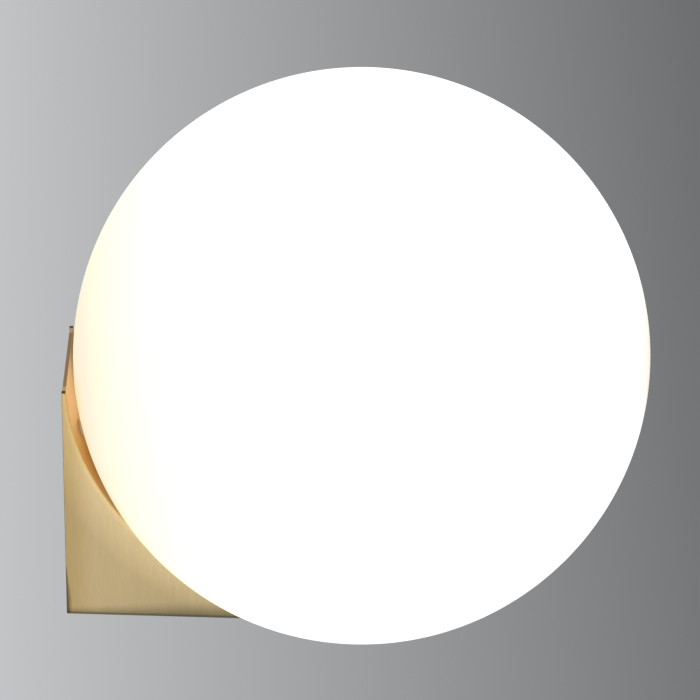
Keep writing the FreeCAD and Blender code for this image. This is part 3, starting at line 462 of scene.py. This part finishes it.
end_tree(lathe, inp, weld.outputs[0], out)

# A screw thread: one ridge with sloping flanks that winds up about Z.  It starts from an empty blank.
POINTS_PER_TURN, RIDGE_CORNERS = 40, 4
thread, inp, out = start_tree("thread", (("Blank", "NodeSocketGeometry"), ("Ridge Radius", NUMBER),
                                         ("Ridge Depth", NUMBER), ("Turns", NUMBER),
                                         ("Length", NUMBER)), "Ridge")
spiral = add(thread, "GeometryNodeCurveSpiral", {"Resolution": POINTS_PER_TURN})
steady = add(thread, "GeometryNodeSetCurveNormal", mode="Z_UP")
flanks = add(thread, "GeometryNodeCurvePrimitiveCircle", {"Resolution": RIDGE_CORNERS}, mode="RADIUS")
sweep = add(thread, "GeometryNodeCurveToMesh", {"Fill Caps": True})
link_all(thread, (inp.outputs["Turns"], spiral.inputs["Rotations"]),
         (inp.outputs["Ridge Radius"], spiral.inputs["Start Radius"]),
         (inp.outputs["Ridge Radius"], spiral.inputs["End Radius"]),
         (inp.outputs["Length"], spiral.inputs["Height"]),
         (spiral.outputs[0], steady.inputs["Curve"]), (steady.outputs[0], sweep.inputs["Curve"]),
         (inp.outputs["Ridge Depth"], flanks.inputs["Radius"]),
         (flanks.outputs[0], sweep.inputs["Profile Curve"]))
end_tree(thread, inp, sweep.outputs[0], out)


def shape_with(tree, source, name, values):
    """Runs a geometry tree on a mesh and keeps the result as a plain mesh."""
    maker = bpy.data.objects.new(name + "_maker", source)
    bpy.context.scene.collection.objects.link(maker)
    modifier = maker.modifiers.new(name, "NODES")
    modifier.node_group = tree
    for item in tree.interface.items_tree:
        if item.in_out == "INPUT" and item.name in values:
            modifier[item.identifier] = values[item.name]
    shaped = bpy.data.meshes.new_from_object(maker.evaluated_get(bpy.context.evaluated_depsgraph_get()))
    bpy.data.objects.remove(maker)
    return shaped


HARD_EDGE = math.radians(32.0)


def crisp(mesh):
    """Turns the faces outwards, smooths them and keeps the hard edges hard."""
    work = bmesh.new()
    work.from_mesh(mesh)
    bmesh.ops.recalc_face_normals(work, faces=work.faces)
    for face in work.faces:
        face.smooth = True
    for edge in work.edges:
        edge.smooth = len(edge.link_faces) == 2 and edge.calc_face_angle() < HARD_EDGE
    work.to_mesh(mesh)
    work.free()


def turned(name, section, steps, material):
    """A mesh turned about Z from its section of (radius, height) pairs."""
    outline = bpy.data.meshes.new(name + "_section")
    outline.from_pydata([(radius, 0.0, height) for radius, height in section], [], [])
    return shape_with(lathe, outline, name, {"Turn Steps": steps, "Finish": material})


def threaded(name, crest, depth, pitch, bottom, top, material):
    """The ridge of a thread about Z, between two heights."""
    values = {"Ridge Radius": crest - depth, "Ridge Depth": depth, "Turns": (top - bottom) / pitch,
              "Length": top - bottom, "Finish": material}
    ridge = shape_with(thread, bpy.data.meshes.new(name + "_blank"), name, values)
    ridge.transform(Matrix.Translation((0.0, 0.0, bottom)))
    return ridge


def joined(name, meshes, material, placing, body, slot, *replaced):
    """One piece from several meshes, set in its place and hung under its body's empty."""
    work = bmesh.new()
    for mesh in meshes:
        work.from_mesh(mesh)
    for face in work.faces:
        face.material_index = 0
    whole = bpy.data.meshes.new(name)
    work.to_mesh(whole)
    work.free()
    whole.materials.append(material)
    whole.transform(placing)
    crisp(whole)
    piece = bpy.data.objects.new(name, whole)
    bpy.context.scene.collection.objects.link(piece)
    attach(piece, body)
    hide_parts(*replaced)


# The stem lies on the lamp's axis, at heights from the globe's centre.
STEM_RADIUS, STEM_BORE = 0.005, 0.0035
STEM_PITCH, STEM_RIDGE, STEM_CHAMFER = 0.001, 0.0003, 0.0005
STEM_TOP, STEM_BOTTOM = -0.091, -0.1505
stem_root = STEM_RADIUS - STEM_RIDGE
stem_section = [(STEM_BORE, STEM_TOP), (stem_root - STEM_CHAMFER, STEM_TOP),
                (stem_root, STEM_TOP - STEM_CHAMFER), (stem_root, STEM_BOTTOM + STEM_CHAMFER),
                (stem_root - STEM_CHAMFER, STEM_BOTTOM), (STEM_BORE, STEM_BOTTOM), (STEM_BORE, STEM_TOP)]
stem_core = turned("stem_core", stem_section, steps=64, material=turned_zinc)
stem_ridge = threaded("stem_ridge", STEM_RADIUS, STEM_RIDGE, STEM_PITCH, STEM_BOTTOM + STEM_CHAMFER,
                      STEM_TOP - STEM_CHAMFER, turned_zinc)
joined("threaded_stem", [stem_core, stem_ridge], turned_zinc, lamp_axis, "cradle", "zinc_steel",
       "stem_tube")


# ---------------------------------------------------------------------------------------------
# Lampholder.  A glazed ceramic body screwed to a small zinc plated fork on the stem, with two
# nickel plated spring clips inside for the bulb's pins.

ceramic = clouded("glazed_ceramic", low=(0.79, 0.78, 0.73), high=(0.88, 0.87, 0.83), rough=(0.20, 0.12),
                  scales=(60.0, 1500.0), skin=0.00002, Coat_Weight=0.5, Coat_Roughness=0.06)
nickel = clouded("nickel_plate", low=(0.58, 0.56, 0.51), high=(0.74, 0.72, 0.67), rough=(0.3, 0.18),
                 scales=(150.0, 2200.0), skin=0.00001, Metallic=1.0)
dress(ceramic, "holder_body")
dress(zinc, "holder_bracket", "holder_screws")
dress(nickel, "holder_contacts")


# ---------------------------------------------------------------------------------------------
# Wiring.  A moulded nylon terminal block on a welded stud, brass clamps with plated screws, and
# three silicone sleeved leads: brown and blue to the lampholder, striped to the earth tag.

SLEEVE_ROUGH, SLEEVE_SCALES, SLEEVE_SKIN = (0.6, 0.48), (200.0, 3000.0), 0.00002

nylon = clouded("moulded_nylon", low=(0.76, 0.76, 0.73), high=(0.86, 0.86, 0.84), rough=(0.55, 0.42),
                scales=(80.0, 2400.0), skin=0.00003)
brown = clouded("brown_sleeve", (0.12, 0.050, 0.020), (0.19, 0.085, 0.035), SLEEVE_ROUGH,
                SLEEVE_SCALES, SLEEVE_SKIN)
blue = clouded("blue_sleeve", (0.03, 0.12, 0.36), (0.06, 0.19, 0.48), SLEEVE_ROUGH,
               SLEEVE_SCALES, SLEEVE_SKIN)
bright_brass = clouded("bright_brass", TURNED_LOW, TURNED_HIGH, rough=(0.32, 0.2),
                       scales=(150.0, 1800.0), skin=0.00001, Metallic=1.0)
dress(nylon, "terminal_block")
dress(zinc, "terminal_screws", "terminal_stud", "terminal_nut")
dress(bright_brass, "terminal_clamps", "earth_screw")
dress(brown, "brown_lead")
dress(blue, "blue_lead")

# The earth sleeve is green with a yellow stripe along each side.
SLEEVE_GREEN, SLEEVE_YELLOW, STRIPE_EDGE = (0.03, 0.24, 0.05), (0.72, 0.62, 0.05), (0.68, 0.74)
striped, tree, shader, vector = start_material("green_yellow_sleeve")
facing = add(tree, "ShaderNodeNewGeometry")
side = add(tree, "ShaderNodeSeparateXYZ")
link(tree, facing.outputs["Normal"], side.inputs[0])
stripe = maths(tree, "ABSOLUTE", side.outputs["X"])
cloud = place_group(tree, clouds, vector, Coarse_Scale=SLEEVE_SCALES[0], Fine_Scale=SLEEVE_SCALES[1])
finish(tree, shader, two_tones(tree, stripe, SLEEVE_GREEN, SLEEVE_YELLOW, STRIPE_EDGE),
       run(tree, cloud.outputs["Mask"], *SLEEVE_ROUGH), raised(tree, cloud.outputs["Height"], SLEEVE_SKIN))
dress(striped, "earth_lead")


# ---------------------------------------------------------------------------------------------
# Lock.  A knurled brass screw through the right-hand cheek, in a turned nut pressed into the
# sheet, keeps the cradle down on the wall plate's cleat.

lock_low, lock_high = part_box("lock_screw")
lock_centre = (lock_low + lock_high) / 2
across_brass = turned_metal("cross_turned_brass", TURNED_LOW, TURNED_HIGH, rough=(0.30, 0.18),
                            turn=(0.0, math.radians(90), 0.0), centre=lock_centre)
dress(across_brass, "lock_nut", "lock_screw")


# ---------------------------------------------------------------------------------------------
# Bulb.  A frosted capsule over a lit strip, on a white moulded base with two wire pin loops
# that push into the lampholder.

frosted = clouded("frosted_cover", low=(0.86, 0.86, 0.84), high=(0.94, 0.94, 0.92), rough=(0.5, 0.38),
                  scales=(120.0, 2400.0), skin=0.00002, Emission_Color=(1.0, 0.95, 0.84, 1.0),
                  Emission_Strength=0.55)
strip = clouded("light_strip", low=(0.90, 0.78, 0.40), high=(0.98, 0.88, 0.52), rough=(0.6, 0.5),
                scales=(400.0, 2400.0), skin=0.00002, Emission_Color=(1.0, 0.9, 0.7, 1.0),
                Emission_Strength=1.0)
dress(frosted, "bulb_envelope")
dress(strip, "light_core")
dress(nylon, "bulb_base")
dress(nickel, "bulb_pins")


# ---------------------------------------------------------------------------------------------
# Globe.  Blown opal glass, 250 mm across and 3 mm thick, satin finished, with a short neck that
# points down and back into the corner of the cradle.  A threaded brass collar is cemented on it.

GLASS_WALL = 0.003
NECK_RADIUS, NECK_FLOW, NECK_END = 0.016, 0.003, 0.140
BALL_STEPS, FLOW_STEPS, LIP_STEPS, GLASS_TURN_STEPS = 150, 10, 12, 192


def arc(centre, radius, start, end, steps):
    """Points along an arc of the section."""
    return [(centre[0] + radius * math.cos(start + (end - start) * i / steps),
             centre[1] + radius * math.sin(start + (end - start) * i / steps)) for i in range(steps + 1)]


def glass_face(radius, neck_radius):
    """One face of the glass: the ball down from its crown, then the flow into the neck."""
    flow = (NECK_RADIUS + NECK_FLOW, -math.sqrt((GLOBE_RADIUS + NECK_FLOW) ** 2
                                                - (NECK_RADIUS + NECK_FLOW) ** 2))
    leave = math.atan2(flow[1], flow[0])
    ball = arc((0.0, 0.0), radius, math.pi / 2, leave, BALL_STEPS)
    return ball + arc(flow, flow[0] - neck_radius, leave + math.pi, math.pi, FLOW_STEPS)[1:]


outside = glass_face(GLOBE_RADIUS, NECK_RADIUS)
inside = glass_face(GLOBE_RADIUS - GLASS_WALL, NECK_RADIUS - GLASS_WALL)
lip = arc((NECK_RADIUS - GLASS_WALL / 2, -NECK_END + GLASS_WALL / 2), GLASS_WALL / 2, 0.0, -math.pi,
          LIP_STEPS)

# Lit from inside, the glass glows white.  The glow is painted to turn cream and then amber on the
# wall's side, dim and warm in the shade between the cheeks, and faintly cream on a round patch in
# the middle of the front, which is the right-hand edge as the camera sees it.
WALL_SIDE, NECK_SIDE, ROOM_SIDE = (0.0, 0.985, -0.17), (0.0, 1.0, -1.0), (0.0, -1.0, 0.05)
WALL_CREAM = ((0.42, (1.0, 1.0, 1.0)), (0.58, (1.0, 1.0, 0.76)), (0.76, (0.96, 0.92, 0.60)),
              (0.90, (0.76, 0.64, 0.41)), (0.982, (0.73, 0.55, 0.25)), (0.998, (0.80, 0.69, 0.55)))
NECK_SHADE, NECK_REACH, CHEEK_REACH = (0.28, 0.15, 0.06), (0.84, 0.95), (0.026, 0.006)
ROOM_SHADE, ROOM_REACH = (0.60, 0.54, 0.42), (0.95, 0.995)
GLOW, GLASS_ROUGH, GLASS_WAVES = 0.8, (0.35, 0.42), 0.0002

opal, tree, shader, vector = start_material("satin_opal")
cloud = place_group(tree, clouds, vector, Coarse_Scale=14.0, Fine_Scale=90.0, Fine_Share=0.3)
finish(tree, shader, two_tones(tree, cloud.outputs["Mask"], (0.80, 0.79, 0.76), (0.86, 0.85, 0.83)),
       run(tree, cloud.outputs["Mask"], *GLASS_ROUGH), raised(tree, cloud.outputs["Mask"], GLASS_WAVES),
       Emission_Strength=GLOW, Specular_IOR_Level=0.25)
from_centre = add(tree, "ShaderNodeVectorMath", operation="SUBTRACT")
from_centre.inputs[1].default_value = globe_centre
link(tree, vector, from_centre.inputs[0])
split = add(tree, "ShaderNodeSeparateXYZ")
link(tree, from_centre.outputs[0], split.inputs[0])


def towards(tree, direction):
    """How far a point of the glass lies in a direction, from -1 to 1."""
    dot = add(tree, "ShaderNodeVectorMath", operation="DOT_PRODUCT")
    dot.inputs[1].default_value = Vector(direction).normalized() / GLOBE_RADIUS
    link(tree, from_centre.outputs[0], dot.inputs[0])
    return dot.outputs["Value"]


cream = colour_run(tree, towards(tree, WALL_SIDE), *WALL_CREAM)
in_cradle = where_all(tree, rise(tree, towards(tree, NECK_SIDE), *NECK_REACH, easing="SMOOTHSTEP"),
                      rise(tree, maths(tree, "ABSOLUTE", split.outputs["X"]), *CHEEK_REACH,
                           easing="SMOOTHSTEP"))
in_front = rise(tree, towards(tree, ROOM_SIDE), *ROOM_REACH, easing="SMOOTHSTEP")
lit = tinted(tree, cream, in_cradle, NECK_SHADE)
lit = tinted(tree, lit, in_front, ROOM_SHADE)
link(tree, lit, shader.inputs["Emission Color"])

glass = turned("glass", outside + lip + inside[::-1], GLASS_TURN_STEPS, opal)
joined("globe_shell", [glass], opal, lamp_axis, "globe", "opal_glass", "globe_glass")

# The collar, with a rim against the gasket and a coarse thread for the cup.
COLLAR_RADIUS, COLLAR_RIM = 0.0176, 0.0186
RIM_TOP, RIM_BOTTOM, COLLAR_END = -0.1302, -0.1315, -0.139
COLLAR_RIDGE, COLLAR_PITCH, COLLAR_CHAMFER = 0.00035, 0.0015, 0.0002
collar_root = COLLAR_RADIUS - COLLAR_RIDGE
collar_section = [(NECK_RADIUS, RIM_TOP), (COLLAR_RIM - COLLAR_CHAMFER, RIM_TOP),
                  (COLLAR_RIM, RIM_TOP - COLLAR_CHAMFER), (COLLAR_RIM, RIM_BOTTOM + COLLAR_CHAMFER),
                  (COLLAR_RIM - COLLAR_CHAMFER, RIM_BOTTOM), (collar_root, RIM_BOTTOM),
                  (collar_root, COLLAR_END + 2 * COLLAR_CHAMFER),
                  (collar_root - 2 * COLLAR_CHAMFER, COLLAR_END),
                  (NECK_RADIUS, COLLAR_END), (NECK_RADIUS, RIM_TOP)]
collar_core = turned("collar_core", collar_section, steps=128, material=turned_brass)
collar_ridge = threaded("collar_ridge", COLLAR_RADIUS, COLLAR_RIDGE, COLLAR_PITCH,
                        COLLAR_END + 2 * COLLAR_RIDGE, RIM_BOTTOM - COLLAR_RIDGE, turned_brass)
joined("threaded_collar", [collar_core, collar_ridge], turned_brass, lamp_axis, "globe",
       "turned_brass", "neck_collar")


# ---------------------------------------------------------------------------------------------
# Camera, floor and light.  A long lens from the lamp's left-hand side, a little from the front
# and well above it; a plain pale floor far below; soft lamps at a plain level.

VIEW_DISTANCE = 29.8 * GLOBE_RADIUS
VIEW_SIDE, VIEW_RISE = math.radians(2.52), math.radians(36.48)
AIM_RIGHT, AIM_UP = -0.0405 * GLOBE_RADIUS, 0.0199 * GLOBE_RADIUS
SENSOR, FAR_CLIP = 36.0, 100.0

# The lens makes the globe's outline a circle of this radius in a picture of this width.
GLOBE_PIXELS, IMAGE_PIXELS = 288.65, 700.0
to_camera = Vector((-math.cos(VIEW_SIDE) * math.cos(VIEW_RISE),
                    -math.sin(VIEW_SIDE) * math.cos(VIEW_RISE), math.sin(VIEW_RISE)))
right = Vector((math.sin(VIEW_SIDE), -math.cos(VIEW_SIDE), 0.0))
lens_per_pixel = math.sqrt((VIEW_DISTANCE / GLOBE_RADIUS) ** 2 - 1) * SENSOR / IMAGE_PIXELS
camera = bpy.data.objects.new("camera", bpy.data.cameras.new("camera"))
bpy.context.scene.collection.objects.link(camera)
camera.location = globe_centre + to_camera * VIEW_DISTANCE
aim = globe_centre + right * AIM_RIGHT + to_camera.cross(right) * AIM_UP
camera.rotation_mode = "QUATERNION"
camera.rotation_quaternion = (aim - camera.location).to_track_quat("-Z", "Y")
camera.data.sensor_width = SENSOR
camera.data.lens = GLOBE_PIXELS * lens_per_pixel
camera.data.clip_end = FAR_CLIP
bpy.context.scene.camera = camera

FLOOR_DROP, FLOOR_REACH = 1.0, 30.0
floor_corners = [(across * FLOOR_REACH, along * FLOOR_REACH, -FLOOR_DROP)
                 for across, along in ((-1, -1), (1, -1), (1, 1), (-1, 1))]
floor_mesh = bpy.data.meshes.new("floor")
floor_mesh.from_pydata(floor_corners, [], [(0, 1, 2, 3)])
floor = bpy.data.objects.new("floor", floor_mesh)
bpy.context.scene.collection.objects.link(floor)

# The paper's grey is painted light falloff: paler on the wall's side and deeper towards the front,
# and pale again far out in front.  Its greys are written as they show on a screen.
PAPER_SLANT, SCREEN_POWER = -0.09, 2.2
PALE_GREY, DEEP_GREY, LIGHT_FALL = 0.842, 0.393, (0.158, -0.504)
FAR_DEEP, FAR_PALE, FAR_RISE = 0.30, 0.80, (-0.5, -2.5)
PAPER_TINT = (("Red", 0.985), ("Green", 1.0), ("Blue", 1.025))

paper, tree, shader, vector = start_material("pale_floor")
floor_mesh.materials.append(paper)
finish(tree, shader, Base_Color=(0.6, 0.6, 0.6, 1.0), Roughness=0.9, Specular_IOR_Level=0.1)
split = add(tree, "ShaderNodeSeparateXYZ")
link(tree, vector, split.inputs[0])
slant = maths(tree, "ADD", split.outputs["Y"], maths(tree, "MULTIPLY", split.outputs["X"], PAPER_SLANT))
grey = maths(tree, "MAXIMUM", run(tree, slant, PALE_GREY, DEEP_GREY, LIGHT_FALL),
             run(tree, slant, FAR_DEEP, FAR_PALE, FAR_RISE))
light = maths(tree, "POWER", grey, SCREEN_POWER)
tone = add(tree, "ShaderNodeCombineColor")
for channel, share in PAPER_TINT:
    link(tree, maths(tree, "MULTIPLY", light, share), tone.inputs[channel])

# The camera, gloss and glass see the paper's painted grey as its own glow, all other light meets
# plain grey paper, and from below the paper is clear.
seen = add(tree, "ShaderNodeLightPath")
seen_or_mirrored = maths(tree, "MAXIMUM", seen.outputs["Is Camera Ray"], seen.outputs["Is Glossy Ray"])
shown = maths(tree, "MAXIMUM", seen_or_mirrored, seen.outputs["Is Transmission Ray"])
shine = add(tree, "ShaderNodeEmission")
choose = add(tree, "ShaderNodeMixShader")
clear = add(tree, "ShaderNodeBsdfTransparent")
below = add(tree, "ShaderNodeNewGeometry")
through = add(tree, "ShaderNodeMixShader")
link_all(tree, (tone.outputs["Color"], shine.inputs["Color"]), (shown, choose.inputs[0]),
         (shader.outputs[0], choose.inputs[1]), (shine.outputs[0], choose.inputs[2]),
         (below.outputs["Backfacing"], through.inputs[0]), (choose.outputs[0], through.inputs[1]),
         (clear.outputs[0], through.inputs[2]),
         (through.outputs[0], tree.nodes["Material Output"].inputs["Surface"]))

world = bpy.data.worlds.new("studio")
bpy.context.scene.world = world
world.use_nodes = True
studio_light = world.node_tree.nodes["Background"]
studio_light.inputs["Color"].default_value = (0.97, 0.98, 1.0, 1.0)
studio_light.inputs["Strength"].default_value = 0.5


def soft_lamp(name, place, size, radiance):
    """A square soft lamp that faces the globe, with its brightness as a surface."""
    lamp = bpy.data.lights.new(name, "AREA")
    lamp.shape = "SQUARE"
    lamp.size = size
    lamp.energy = radiance * math.pi * size * size
    stand = bpy.data.objects.new(name, lamp)
    bpy.context.scene.collection.objects.link(stand)
    stand.location = place
    stand.rotation_mode = "QUATERNION"
    stand.rotation_quaternion = (globe_centre - Vector(place)).to_track_quat("-Z", "Y")
    stand.visible_camera = False


# High at the left and in front, in front at the right, and a dim card low down at the left.
soft_lamp("key", place=(-1.2, -1.2, 1.6), size=1.2, radiance=3.0)
soft_lamp("front", place=(1.2, -1.8, 1.0), size=1.2, radiance=2.5)
soft_lamp("low_card", place=(-0.95, -0.02, -0.62), size=0.8, radiance=0.68)

bpy.context.scene.view_settings.view_transform = "Standard"
